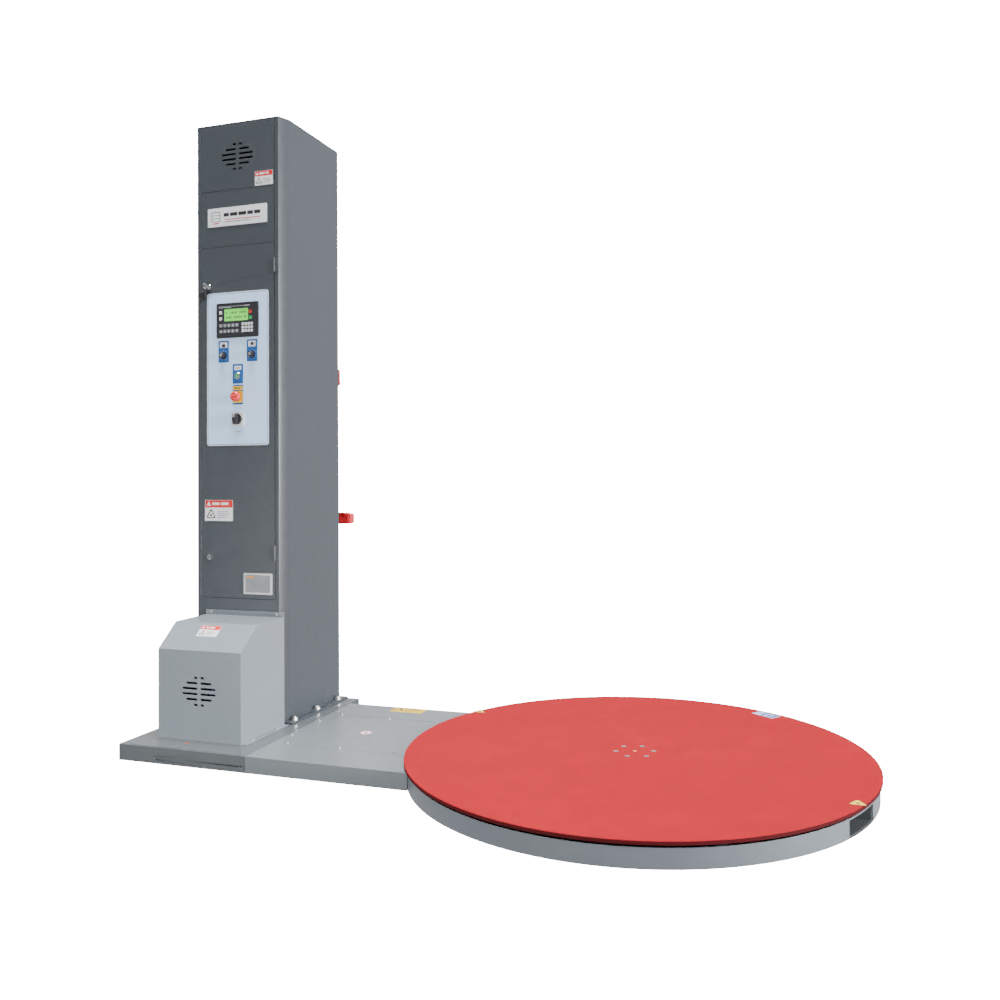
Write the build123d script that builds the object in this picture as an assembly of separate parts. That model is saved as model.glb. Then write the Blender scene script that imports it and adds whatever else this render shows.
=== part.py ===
import math
import os

from build123d import *

# Turntable pallet wrapper. Millimetres, +Z up. The origin is on the floor, on the
# turntable's axis. The mast stands toward -X and its control door faces -Y.

# Overall sizes
table_dia = 1650.0
mast_w = 440.0
mast_d = 470.0
mast_top = 2568.0
mast_cx = -1660.0
mast_front = 10.0
deck_top = 62.0
half_width = 410.0
sheet = 3.0

# Clearances
fit = 0.06
rub = 0.3
gap = 2.0
seam_gap = 1.0

# Table, ring, rollers
table_thk = 12.0
table_clear = 8.0
ring_r = 816.0
ring_wall = 4.0
ring_drop = 2.0
pan_thk = 3.0
rib_w = 40.0
roller_n = 6
roller_inset = 116.0
roller_r = 25.0
roller_w = 24.0
roller_pin_r = 6.0
fork_y = 324.0
fork_w = 170.0
fork_lid = 5.0
fork_back = -350.0
journal_r = 25.0
hub_r = 45.0
screw_pcd = 135.0
screw_head_r = 9.5

# Table drive
drive_dx = 33.0
drive_dy = 110.0
chain_drop = 15.0
table_teeth_r = 150.0
drive_teeth_r = 40.0
shaft_r = 12.5
plate_t = 8.0

# Foot plate and bridge cover
foot_margin = 25.0
foot_back_margin = 20.0
seam_margin = 90.0
cover_half = 230.0
screw_inset = 14.0
screw_r = 6.0

# Motor cover
mc_w = 374.0
mc_d = 308.0
mc_h = 346.0
mc_slant = 107.0
mc_slant_h = 90.0
mc_flange = 20.0

# Mast front
strip = 18.0
cham_x = 23.0
cham_y = 51.0
vent_drop = 145.0
vent_panel_h = 284.0
name_panel_h = 238.0
door_rise = 52.0
slot_half = 70.0

# Door items, down from the door's top edge or up from its foot
panel_drop = 193.0
panel_h = 645.0
lock_drop = 165.0
low_lock_rise = 168.0
hmi_h = 146.0

# Carriage and lift
rail_dx = 90.0
rail_w = 20.0
rail_d = 30.0
lift_dy = 350.0
lift_r = 32.0
lift_drop = 148.0
lift_rise = 108.0
car_z0 = 850.0
car_z1 = 1565.0
arm_low_h = 47.0
arm_top_h = 70.0
roll_dx = -130.0
roll_dy = 260.0
roll_r = 125.0
roll_h = 500.0
core_r = 38.0

# Derived
table_bot = deck_top + table_clear
table_top = table_bot + table_thk
ring_top = deck_top - ring_drop
fork_z1 = ring_top - fork_lid
roller_pcr = ring_r - roller_inset
roller_z = table_bot - rub - roller_r
rib_top = roller_z - roller_r - 1.7
mast_x0 = mast_cx - mast_w / 2
mast_x1 = mast_cx + mast_w / 2
mast_back = mast_front + mast_d
open_half = mast_w / 2 - cham_x - strip
pane_half = open_half - gap / 2
pane_l = mast_cx - pane_half
pane_r = mast_cx + pane_half
deck_bot = deck_top - sheet
foot_flange_z = deck_top + 8.0
shell_top = mast_top - sheet
foot_end = mast_x0 - foot_margin
foot_back = mast_back + foot_back_margin
seam_x = mast_x1 + seam_margin
drive_x = mast_cx + drive_dx
drive_y = mast_front - drive_dy
chain_z = deck_bot - chain_drop
mc_x1 = mast_x1
mc_x0 = mc_x1 - mc_w
mc_front = mast_front - mc_d
mc_z1 = deck_top + mc_h
mc_z2 = mc_z1 + mc_slant_h
door_z0 = mc_z2 + mc_flange + door_rise
vent_z = mast_top - vent_drop
vent_panel_z0 = mast_top - vent_panel_h
name_z0 = vent_panel_z0 - name_panel_h
door_top = name_z0 - gap
lift_y = mast_front + lift_dy
lift_top_z = mast_top - lift_drop
lift_bot_z = deck_top + lift_rise
roll_x = mast_cx + roll_dx
roll_y = mast_back + roll_dy

parts = {}


def box(x0, x1, y0, y1, z0, z1):
    return Pos((x0 + x1) / 2, (y0 + y1) / 2, (z0 + z1) / 2) * Box(x1 - x0, y1 - y0, z1 - z0)


def rod_z(x, y, z0, z1, r):
    return Pos(x, y, (z0 + z1) / 2) * Cylinder(r, z1 - z0)


def rod_x(x0, x1, y, z, r):
    return Pos((x0 + x1) / 2, y, z) * Rot(0, 90, 0) * Cylinder(r, x1 - x0)


def rod_y(x, y0, y1, z, r):
    return Pos(x, (y0 + y1) / 2, z) * Rot(90, 0, 0) * Cylinder(r, y1 - y0)


def prism(points, z0, z1):
    return Pos(0, 0, z0) * extrude(make_face(Polyline(*points, close=True)), z1 - z0)


def fuse(items):
    first = items[0]
    return first.fuse(*items[1:]) if len(items) > 1 else first


def slot_y(x, y0, y1, z, length, height):
    run = length - height
    mid = box(x - run / 2, x + run / 2, y0, y1, z - height / 2, z + height / 2)
    ends = [rod_y(x + s * run / 2, y0, y1, z, height / 2) for s in (-1, 1)]
    return mid + ends[0] + ends[1]


def vent_cutters(cx, cz, y0, y1):
    # Six rows of rounded slots in two columns; the middle rows are the longest.
    lengths = [15.0, 50.0, 68.0, 68.0, 50.0, 15.0]
    web = 14.0
    pitch = 20.7
    cuts = []
    for row, length in enumerate(lengths):
        z = cz + (2.5 - row) * pitch
        for side in (-1, 1):
            cuts.append(slot_y(cx + side * (web + length) / 2, y0, y1, z, length, 8.0))
    return cuts


def polar(r, deg):
    a = math.radians(deg)
    return r * math.cos(a), r * math.sin(a)


def sprocket(r, teeth, thickness, bore):
    # Flat toothed wheel centred on the origin, axis Z, tooth tips at radius r.
    blank = Cylinder(r, thickness)
    notch_r = math.pi * r / teeth / 2.0
    for i in range(teeth):
        x, y = polar(r + notch_r * 0.15, 360.0 * (i + 0.5) / teeth)
        blank -= Pos(x, y, 0) * Cylinder(notch_r, thickness * 2)
    return blank - Cylinder(bore, thickness * 2)


def loop_points(ax, ay, ar, bx, by, br):
    # Tangent points of an open belt round two circles, a on the left of b.
    d = math.hypot(bx - ax, by - ay)
    base = math.atan2(by - ay, bx - ax)
    off = math.acos((ar - br) / d)
    up = base + off
    dn = base - off
    a1 = (ax + ar * math.cos(up), ay + ar * math.sin(up))
    a2 = (ax + ar * math.cos(dn), ay + ar * math.sin(dn))
    b1 = (bx + br * math.cos(up), by + br * math.sin(up))
    b2 = (bx + br * math.cos(dn), by + br * math.sin(dn))
    return a1, a2, b1, b2, up, dn


def loop_face(ax, ay, ar, bx, by, br):
    a1, a2, b1, b2, up, dn = loop_points(ax, ay, ar, bx, by, br)
    base = math.atan2(by - ay, bx - ax)
    am = (ax - ar * math.cos(base), ay - ar * math.sin(base))
    bm = (bx + br * math.cos(base), by + br * math.sin(base))
    edges = [
        Line(a1, b1),
        ThreePointArc(b1, bm, b2),
        Line(b2, a2),
        ThreePointArc(a2, am, a1),
    ]
    return make_face(Curve() + edges)


def band(a, ar, b, br, inner, outer, z0, z1):
    big = loop_face(a[0], a[1], ar + outer, b[0], b[1], br + outer)
    small = loop_face(a[0], a[1], ar + inner, b[0], b[1], br + inner)
    return Pos(0, 0, z0) * extrude(big - small, z1 - z0)


def chain(a, ar, b, br, pitch):
    # Two runs of side plates with rollers between them, wrapped just outside the tips.
    low = band(a, ar, b, br, rub, 12.0, -plate_t / 2 - 3.0, -plate_t / 2 - rub)
    top = band(a, ar, b, br, rub, 12.0, plate_t / 2 + rub, plate_t / 2 + 3.0)
    mid = 6.3
    pa1, pa2, pb1, pb2, up, dn = loop_points(a[0], a[1], ar + mid, b[0], b[1], br + mid)
    run = math.hypot(pb1[0] - pa1[0], pb1[1] - pa1[1])
    n = int(run / pitch)
    spots = []
    for i in range(n + 1):
        t = i / n
        spots.append((pa1[0] + t * (pb1[0] - pa1[0]), pa1[1] + t * (pb1[1] - pa1[1])))
        spots.append((pa2[0] + t * (pb2[0] - pa2[0]), pa2[1] + t * (pb2[1] - pa2[1])))
    for (cx, cy), r, start, sweep in ((a, ar, up, 2 * math.pi - (up - dn)), (b, br, dn, up - dn)):
        m = max(2, int((r + mid) * sweep / pitch))
        for i in range(1, m):
            ang = start + sweep * i / m
            spots.append((cx + (r + mid) * math.cos(ang), cy + (r + mid) * math.sin(ang)))
    pins = [Pos(x, y, 0) * Cylinder(3.0, plate_t + 4.0) for x, y in spots]
    return fuse([low, top] + pins)


# ---- Table pan, flat on the floor inside the ring ----
pan_r = ring_r - ring_wall - rub
parts["table_pan"] = rod_z(0, 0, 0, pan_thk, pan_r)

# ---- Base frame: deck rails on their floor sheet, and a spine that carries the table ----
rail_in = foot_end + sheet
back_in = foot_back - sheet
front_in = -half_width + sheet
frame_bits = [
    box(rail_in, -600, front_in, -front_in, 0, pan_thk),
    box(rail_in, seam_x - sheet, -front_in, back_in, 0, pan_thk),
]
for side in (-1, 1):
    y0, y1 = sorted((side * (cover_half - 15), side * (cover_half + 15)))
    frame_bits.append(box(seam_x - 60, -ring_r - 8, y0, y1, pan_thk, deck_bot))
    y0, y1 = sorted((side * (half_width - 40), side * (half_width - sheet)))
    frame_bits.append(box(rail_in, -ring_r + 60, y0, y1, pan_thk, deck_bot))
for x0, x1, y0, y1 in (
    (rail_in, foot_end + 60, front_in, back_in),
    (seam_x - 60, seam_x - sheet, 215, back_in),
    (seam_x - 60, seam_x + 40, front_in, -200),
    (rail_in, seam_x - sheet, 180, 230),
    (rail_in, seam_x - sheet, foot_back - 60, back_in),
    (rail_in, drive_x - 110, -60, 20),
):
    frame_bits.append(box(x0, x1, y0, y1, pan_thk, deck_bot))
deck_frame = fuse(frame_bits) - rod_z(0, 0, -1, 90, ring_r + seam_gap)
spine = box(drive_x + 100, pan_r - 4, -rib_w / 2, rib_w / 2, pan_thk, rib_top)
near = roller_pcr - roller_w / 2
far = roller_pcr + roller_w / 2
cheek_in = box(near - 7, near - 2, -17, 17, rib_top - 2, roller_z + 12)
cheek_out = box(far + 2, far + 7, -17, 17, rib_top - 2, roller_z + 12)
roller_fork = cheek_in + cheek_out + rod_x(near - 7, far + 7, 0, roller_z, roller_pin_r)
bracket_r0 = (fork_y + fork_w / 2 + rib_w / 4 + 5) / math.sin(math.radians(60))
foot_bar = box(bracket_r0, pan_r - 4, -rib_w / 2, rib_w / 2, pan_thk, rib_top)
brackets = []
for i in range(roller_n):
    turn = Rot(0, 0, 360.0 * i / roller_n)
    if i % 3 == 0:
        spine += turn * roller_fork
    else:
        brackets.append(turn * (foot_bar + roller_fork))
# Welded-in centre pin: a thrust flange and a journal up into the table hub
hub_z0 = rib_top + 2.0
pin_top = table_bot - 6.0
spine += rod_z(0, 0, pan_thk, pan_thk + 5, 130.0)
spine += rod_z(0, 0, pan_thk + 4, hub_z0 - rub, 60.0)
spine += rod_z(0, 0, hub_z0 - rub, pin_top, journal_r)
parts["base_frame"] = Compound(children=[deck_frame, spine])
parts["roller_brackets"] = Compound(children=brackets)

# ---- Fork sleeves, rectangular tubes across the pan ----
fork_x1 = 780.0
fork_y0 = fork_y - fork_w / 2
sleeves = []
for side in (-1, 1):
    y0, y1 = sorted((side * fork_y0, side * (fork_y0 + fork_w)))
    sleeve = box(fork_back, fork_x1, y0, y1, pan_thk, fork_z1)
    sleeve -= box(fork_back - 1, fork_x1 + 1, y0 + 3, y1 - 3, pan_thk + 2, fork_z1 - 3)
    sleeves.append(sleeve & rod_z(0, 0, 0, 90, pan_r))
parts["fork_sleeves"] = Compound(children=sleeves)

# ---- Ring skirt with two fork pockets and a gate for the chain ----
ring = rod_z(0, 0, 0, ring_top, ring_r) - rod_z(0, 0, -1, ring_top + 1, ring_r - ring_wall)
for side in (-1, 1):
    y0, y1 = sorted((side * fork_y0, side * (fork_y0 + fork_w)))
    ring -= box(300, 1000, y0, y1, pan_thk, fork_z1)
ring -= box(-1000, -300, -half_width + 30, half_width - 30, -1, ring_top - 6)
parts["ring_skirt"] = ring

# ---- Foot plate with folded skirts ----
foot = box(foot_end, seam_x - seam_gap / 2, -half_width, foot_back, 0, deck_top)
foot -= box(foot_end + sheet, seam_x + 5, -half_width + sheet, foot_back - sheet, -1, deck_bot)
foot -= box(seam_x - 2.9, seam_x + 5, -half_width + sheet, half_width, -1, deck_bot)
foot -= rod_z(drive_x, drive_y, deck_bot - 1, deck_top + 1, shaft_r + 17.5)
for x0, x1 in ((foot_end + 46, drive_x - 1), (drive_x + 18, seam_x - 23)):
    foot -= box(x0, x1, -half_width + 7, -half_width + 11, deck_bot - 1, deck_top + 1)
for x in (foot_end + 164, seam_x - 15):
    foot -= rod_y(x, -half_width - 1, -half_width + sheet - 0.01, 22.0, 5.0)
parts["foot_plate"] = foot

# ---- Bridge side skirts, mirrored ----
bridge_sides = []
for side in (-1, 1):
    y0, y1 = sorted((side * (cover_half + seam_gap / 2), side * half_width))
    top = box(seam_x + seam_gap / 2, -600, y0, y1, deck_bot, deck_top)
    w0, w1 = sorted((side * (half_width - sheet), side * half_width))
    top += box(seam_x + seam_gap / 2, -600, w0, w1, 0, deck_bot)
    top -= rod_z(0, 0, -1, deck_top + 1, ring_r + 1.0)
    bridge_sides.append(top)
parts["bridge_skirts"] = Compound(children=bridge_sides)

# ---- Bridge cover plate and its screws ----
lid_half = cover_half - seam_gap / 2
lid = box(seam_x + seam_gap / 2, -600, -lid_half, lid_half, deck_bot, deck_top)
lid -= rod_z(0, 0, -1, deck_top + 1, ring_r + 1.0)
lid_spots = []
for x in (seam_x + 61, -1068.0, -ring_r - 32):
    for side in (-1, 1):
        lid_spots.append((x, side * (cover_half - screw_inset)))
lid_spots.append((seam_x + 16, -108.0))
lid_spots.append((seam_x + 16, 108.0))
for x, y in lid_spots:
    lid -= rod_z(x, y, deck_bot - 1, deck_top + 1, 3.3)
parts["bridge_cover"] = lid


def pan_screw(shank):
    # Button head on +Z, shank down; the head's underside is at the origin.
    head = Pos(0, 0, 1.6) * Cylinder(screw_r, 3.2)
    head -= Pos(0, 0, 2.6) * extrude(RegularPolygon(2.4, 6), 2)
    return head + Pos(0, 0, -shank / 2) * Cylinder(3.0, shank)


screws = [Pos(x, y, deck_top) * pan_screw(sheet) for x, y in lid_spots]
flange_y = mast_front - sheet
for x in (mc_x0 + 30, mc_x1 - 32):
    screws.append(Pos(x, flange_y, mc_z2 + 12) * Rot(90, 0, 0) * pan_screw(sheet))
cover_ys = (mc_front + 68, mast_front - 70)
for y in cover_ys:
    screws.append(Pos(mc_x1 + 10, y, deck_top + sheet) * pan_screw(sheet))
parts["panel_screws"] = Compound(children=screws)

# ---- Support rollers ----
for i in range(roller_n):
    wheel = Rot(0, 90, 0) * (Cylinder(roller_r, roller_w) - Cylinder(roller_pin_r + fit, roller_w * 2))
    ring_groove = Rot(0, 90, 0) * (Cylinder(17, 3) - Cylinder(11, 4))
    wheel -= Pos(roller_w / 2, 0, 0) * ring_groove
    wheel -= Pos(-roller_w / 2, 0, 0) * ring_groove
    wheel = Rot(0, 0, 360.0 * i / roller_n) * Pos(roller_pcr, 0, roller_z) * wheel
    parts["support_roller_%d" % (i + 1)] = wheel

# ---- Turntable disk, hub with its sprocket, countersunk screws ----
disk = rod_z(0, 0, table_bot, table_top, table_dia / 2)
disk = chamfer(disk.edges().filter_by(GeomType.CIRCLE).sort_by(Axis.Z)[-1:], 1.5)
plate_top = chain_z + plate_t / 2
hub = rod_z(0, 0, table_bot - 10, table_bot, 110.0)
hub += rod_z(0, 0, plate_top, table_bot - 10, hub_r + 5)
hub += rod_z(0, 0, hub_z0, plate_top, hub_r)
hub -= rod_z(0, 0, 0, pin_top + rub, journal_r + fit)
hub += Pos(0, 0, chain_z) * sprocket(table_teeth_r, 48, plate_t, hub_r - 5)
table_screws = []
for i in range(6):
    x, y = polar(screw_pcd / 2, 17.0 + 60.0 * i)
    head = Pos(x, y, table_top - 2.5) * Cone(4.5, screw_head_r, 5.0)
    shank = rod_z(x, y, table_bot - 9, table_top - 5, 4.5)
    solid = head + shank
    disk -= solid
    hub -= solid
    table_screws.append(solid - Pos(x, y, table_top - 2.5) * extrude(RegularPolygon(3.4, 6), 3))
parts["table_disk"] = disk
parts["table_hub"] = hub
parts["table_screws"] = Compound(children=table_screws)

# ---- Drive gearmotor, sprocket on its shaft, chain ----
gear_h = 130.0
body = box(drive_x - 70, drive_x + 70, drive_y - 70, drive_y + 70, deck_top, deck_top + gear_h)
body = fillet(body.edges().filter_by(Axis.Z), 12)
body += box(drive_x - 90, drive_x + 90, drive_y - 85, drive_y + 85, deck_top, deck_top + 12)
stator_z0 = deck_top + gear_h
body += rod_z(drive_x, drive_y, stator_z0, stator_z0 + 12, 75.0)
body += rod_z(drive_x, drive_y, stator_z0 + 12, stator_z0 + 170, 62.0)
for i in range(24):
    fin = box(60, 70, -1.5, 1.5, stator_z0 + 14, stator_z0 + 160)
    body += Pos(drive_x, drive_y, 0) * Rot(0, 0, 15.0 * i) * fin
body += rod_z(drive_x, drive_y, stator_z0 + 165, stator_z0 + 225, 71.0)
body += box(drive_x + 55, drive_x + 115, drive_y - 45, drive_y + 45, stator_z0 + 60, stator_z0 + 140)
body -= rod_z(drive_x, drive_y, deck_top - 5, deck_top + 90, shaft_r + fit)
parts["drive_gearmotor"] = body
drive_wheel = Pos(drive_x, drive_y, chain_z) * sprocket(drive_teeth_r, 14, plate_t, shaft_r - 0.5)
drive_wheel += rod_z(drive_x, drive_y, chain_z - 22, deck_top + 85, shaft_r)
drive_wheel += rod_z(drive_x, drive_y, plate_top, deck_bot - 3, 24.0)
parts["drive_sprocket"] = drive_wheel
loop = chain((drive_x, drive_y), drive_teeth_r, (0.0, 0.0), table_teeth_r, 25.4)
parts["drive_chain"] = Pos(0, 0, chain_z) * loop

# ---- Motor cover ----
slant_y = mc_front + mc_slant
outline = [
    (mc_front, deck_top),
    (mc_front, mc_z1),
    (slant_y, mc_z2),
    (mast_front - 0.2, mc_z2),
    (mast_front - 0.2, deck_top),
]
inner = [
    (mc_front + sheet, deck_top - 1),
    (mc_front + sheet, mc_z1 - 1.5),
    (slant_y + 1.5, mc_z2 - sheet),
    (mast_front + 1, mc_z2 - sheet),
    (mast_front + 1, deck_top - 1),
]


def side_prism(points, x0, x1):
    face = make_face(Polyline(*points, close=True))
    return Pos(x0, 0, 0) * Rot(0, 0, 90) * Rot(90, 0, 0) * extrude(face, x1 - x0)


hood = side_prism(outline, mc_x0, mc_x1) - side_prism(inner, mc_x0 + sheet, mc_x1 - sheet)
hood += box(mc_x0, mc_x1, mast_front - sheet, mast_front, mc_z2 - sheet, mc_z2 + mc_flange)
hood += box(mc_x1 - sheet, mc_x1 + 20, mc_front + 8, mast_front - 4, deck_top, deck_top + sheet)
for cut in vent_cutters((mc_x0 + mc_x1) / 2, mc_z1 - 156, mc_front - 1, mc_front + sheet + 1):
    hood -= cut
for x in (mc_x0 + 30, mc_x1 - 32):
    hood -= slot_y(x, mast_front - sheet - 1, mast_front + 1, mc_z2 + 12, 6.6, 6.4)
for y in cover_ys:
    hood -= rod_z(mc_x1 + 10, y, deck_top - 1, deck_top + sheet + 1, 3.2)
parts["motor_cover"] = hood

# ---- Mast shell ----
front_half = mast_w / 2 - cham_x


def mast_profile(inset):
    s = inset
    k = s * 0.25
    return [
        (mast_cx - front_half + k, mast_front + s),
        (mast_cx + front_half - k, mast_front + s),
        (mast_x1 - s, mast_front + cham_y + k),
        (mast_x1 - s, mast_back - s),
        (mast_x0 + s, mast_back - s),
        (mast_x0 + s, mast_front + cham_y + k),
    ]


shell = prism(mast_profile(0), deck_top, shell_top)
shell -= prism(mast_profile(sheet), deck_top - 1, shell_top + 1)
lip_y = mast_front + sheet
door_l = mast_cx - open_half
door_r = mast_cx + open_half
shell -= box(door_l, door_r, mast_front - 1, lip_y + 0.2, door_z0 - gap, mast_top)
for x0, x1, z0, z1 in (
    (mast_cx - front_half + 4, door_l + 15, door_z0 - 20, shell_top),
    (door_r - 15, mast_cx + front_half - 4, door_z0 - 20, shell_top),
    (door_l, door_r, door_z0 - 20, door_z0 + 15),
    (door_l, door_r, name_z0 - 18, name_z0 + 15),
    (door_l, door_r, vent_panel_z0 - 16, vent_panel_z0 + 14),
):
    shell += box(x0, x1, lip_y, lip_y + sheet, z0, z1)
slot_l = mast_cx - slot_half
slot_r = mast_cx + slot_half
shell -= box(slot_l, slot_r, mast_back - sheet - 1, mast_back + 1, deck_top + 68, mast_top - 48)
shell += prism(mast_profile(0), shell_top, mast_top)
flange = box(mast_x0 - 15, mast_x1 + 35, mast_front + 5, mast_back + 15, deck_top, foot_flange_z)
well_y = mast_front + 120
flange -= box(mast_cx - 100, mast_cx + 100, well_y, well_y + 120, deck_top - 1, foot_flange_z + 1)
shell += flange
bolt_spots = []
for y in (mast_front + 50, mast_front + mast_d / 2, mast_back - 50):
    bolt_spots.append((mast_x1 + 18, y))
    bolt_spots.append((mast_x0 + 30, y))
for x, y in bolt_spots:
    shell -= rod_z(x, y, deck_top - 1, foot_flange_z + 1, 8.5)
idle = box(mast_cx - 22, mast_cx - 16, lift_y - 20, lift_y + 20, foot_flange_z - 1, lift_bot_z + 18)
idle += box(mast_cx + 16, mast_cx + 22, lift_y - 20, lift_y + 20, foot_flange_z - 1, lift_bot_z + 18)
idle += rod_x(mast_cx - 22, mast_cx + 22, lift_y, lift_bot_z, 8.0)
shell += idle
parts["mast_shell"] = shell
bolts = []
for x, y in bolt_spots:
    hexa = Pos(x, y, foot_flange_z) * extrude(RegularPolygon(13.0, 6), 10)
    stem = rod_z(x, y, deck_top, foot_flange_z + 16, 8.0)
    washer = rod_z(x, y, foot_flange_z, foot_flange_z + 2.5, 15.0)
    bolts.append(hexa + stem + washer)
parts["mast_bolts"] = Compound(children=bolts)

# ---- Front panels ----
pane = box(pane_l, pane_r, mast_front, lip_y, vent_panel_z0, shell_top - 0.5)
for cut in vent_cutters(mast_cx, vent_z, mast_front - 1, mast_front + sheet + 1):
    pane -= cut
parts["top_panel"] = pane
parts["name_panel"] = box(pane_l, pane_r, mast_front, lip_y, name_z0, vent_panel_z0 - gap)
badge_z = name_z0 + 86
badge = box(pane_l + 34, pane_r - 34, mast_front - 2, mast_front, badge_z, badge_z + 79)
badge = fillet(badge.edges().filter_by(Axis.Y), 4)
parts["name_plate"] = badge

# ---- Door, with everything that rides on it ----
col_x = mast_cx + 3.0
door_t = 2.5
hinge_x = mast_cx + open_half - 0.5
hinge_y = mast_front - 4.2
hinge_zs = (door_z0 + 190, door_top - 94)
key_x = pane_l + 40
lock_z = door_top - lock_drop
low_lock_z = door_z0 + low_lock_rise
panel_z1 = door_top - panel_drop
over = (pane_l + 29, pane_r - 28, panel_z1 - panel_h, panel_z1)
hmi_z1 = panel_z1 - 47
hmi_z0 = hmi_z1 - hmi_h
hmi = (mast_cx - 98.0, mast_cx + 104.0, hmi_z0, hmi_z1)
knob_z = panel_z1 - 267
start_z = panel_z1 - 354
stop_z = panel_z1 - 442
main_z = panel_z1 - 536
knob_dx = 69.0
face_y = mast_front - 1.0

door = box(pane_l, pane_r - 1, mast_front, mast_front + door_t, door_z0, door_top)
for hz in hinge_zs:
    door += box(hinge_x - 24, hinge_x - 3, mast_front - 1.2, mast_front, hz - 30, hz + 30)
    door += rod_z(hinge_x, hinge_y, hz - 10, hz + 10, 4.0)
    door += box(hinge_x - 8, hinge_x - 1, mast_front - 3.0, mast_front - 1.2, hz - 10, hz + 10)
    door -= rod_z(hinge_x, hinge_y, hz - 40, hz + 40, 2.0 + fit)
cutouts = [
    box(hmi[0] + 8, hmi[1] - 8, mast_front - 5, mast_front + 5, hmi[2] + 8, hmi[3] - 8),
    rod_y(key_x, mast_front - 1, mast_front + 5, lock_z, 9.0 + fit),
    rod_y(key_x, mast_front - 1, mast_front + 5, low_lock_z, 9.0 + fit),
]
for x, z, r in (
    (col_x - knob_dx, knob_z, 5.0),
    (col_x + knob_dx, knob_z, 5.0),
    (col_x, start_z, 11.0 + rub),
    (col_x, stop_z, 11.0),
    (col_x, main_z, 8.0),
):
    cutouts.append(rod_y(x, mast_front - 5, mast_front + 5, z, r))
for cut in cutouts:
    door -= cut
parts["door"] = door

hinges = []
for hz in hinge_zs:
    leaf = box(hinge_x + 3.4, hinge_x + 15, mast_front - 1.2, mast_front, hz - 30, hz + 30)
    for s in (-1, 1):
        z0 = hz + s * 20.2 - 9.8
        leaf += rod_z(hinge_x, hinge_y, z0, z0 + 19.6, 4.0)
        leaf += box(hinge_x + 1, hinge_x + 8, mast_front - 3.0, mast_front - 1.2, z0, z0 + 19.6)
    leaf += rod_z(hinge_x, hinge_y, hz - 30, hz + 30, 2.0)
    hinges.append(leaf)
parts["door_hinges"] = Compound(children=hinges)

sheet_over = box(over[0], over[1], face_y, mast_front, over[2], over[3])
sheet_over = fillet(sheet_over.edges().filter_by(Axis.Y), 12)
for cut in cutouts:
    sheet_over -= cut
parts["control_overlay"] = sheet_over


def cam_lock(z):
    lock = rod_y(key_x, mast_front - 6, mast_front - 0.3, z, 11.0)
    lock = chamfer(lock.edges().filter_by(GeomType.CIRCLE).sort_by(Axis.Y)[:1], 1.5)
    lock += rod_y(key_x, mast_front - 0.3, mast_front + 24, z, 9.0)
    lock += box(key_x - 8, key_x + 8, mast_front + 24, mast_front + 27, z - 27, z + 8)
    return lock - box(key_x - 1.2, key_x + 1.2, mast_front - 7, mast_front + 12, z - 4.5, z + 4.5)


parts["door_lock"] = cam_lock(lock_z)
parts["lower_lock"] = cam_lock(low_lock_z)

# Key in the upper lock; a wire ring with a tag and a spare key hangs from its bow
blade = box(key_x - 1.0, key_x + 1.0, mast_front - 20, mast_front + 10, lock_z - 4.0, lock_z + 4.0)
bow_y = mast_front - 31.0
bow = Pos(key_x, bow_y, lock_z) * Rot(0, 90, 0) * (Cylinder(13.0, 2.0))
bow -= Pos(key_x, bow_y - 7, lock_z) * Rot(0, 90, 0) * Cylinder(2.6, 6)
loop_ring = Pos(key_x, bow_y - 7, lock_z - 15.0) * Rot(90, 0, 0) * Torus(13.6, 0.9)
tag = box(key_x - 9, key_x + 9, bow_y - 8.5, bow_y - 6.0, lock_z - 64, lock_z - 28.5)
tag = fillet(tag.edges().filter_by(Axis.Y), 3)
spare = rod_y(key_x - 14, bow_y - 8.2, bow_y - 6.2, lock_z - 40, 11.0)
spare += box(key_x - 18, key_x - 11, bow_y - 8.2, bow_y - 6.2, lock_z - 76, lock_z - 48)
parts["lock_key"] = blade + bow
parts["key_tag"] = fuse([loop_ring, tag, spare])

# Operator terminal: housing, screen, keypad film
housing = box(hmi[0], hmi[1], face_y - 6, face_y, hmi[2], hmi[3])
housing = fillet(housing.edges().filter_by(Axis.Y), 5)
housing += box(hmi[0] + 9, hmi[1] - 9, face_y, face_y + 45, hmi[2] + 9, hmi[3] - 9)
lcd = (mast_cx - 60.0, mast_cx + 56.0, hmi_z1 - 76, hmi_z1 - 25)
well = box(hmi[0] + 8, hmi[1] - 8, face_y - 7, face_y - 5, hmi[2] + 8, hmi[3] - 8)
housing -= well
housing -= box(lcd[0], lcd[1], face_y - 7, face_y - 2, lcd[2], lcd[3])
parts["hmi_housing"] = housing
parts["hmi_screen"] = box(lcd[0], lcd[1], face_y - 4.6, face_y - 2, lcd[2], lcd[3])
film = box(hmi[0] + 8, hmi[1] - 8, face_y - 5.8, face_y - 5, hmi[2] + 8, hmi[3] - 8)
film -= box(lcd[0], lcd[1], face_y - 7, face_y - 2, lcd[2], lcd[3])
keys = []
for c in range(4):
    for r in range(3):
        kx = mast_cx + 31.0 + 14.2 * c
        kz = hmi_z0 + 26 + 14.6 * r
        keys.append(box(kx - 5.6, kx + 5.6, face_y - 6.8, face_y - 5.8, kz - 5.6, kz + 5.6))
for dx, dz in ((68.0, 41.0), (68.0, 66.0), (-77.0, 39.0), (-77.0, 64.0)):
    kx = mast_cx + dx
    kz = hmi_z1 - dz
    keys.append(box(kx - 7, kx + 7, face_y - 6.8, face_y - 5.8, kz - 7, kz + 7))
for c in range(5):
    for r in range(2):
        kx = mast_cx - 76.0 + 19.6 * c
        kz = hmi_z0 + 28 + 24.0 * r
        keys.append(box(kx - 7.5, kx + 7.5, face_y - 6.4, face_y - 5.8, kz - 7.0, kz + 7.0))
parts["hmi_keypad"] = fuse([film] + keys)

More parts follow.
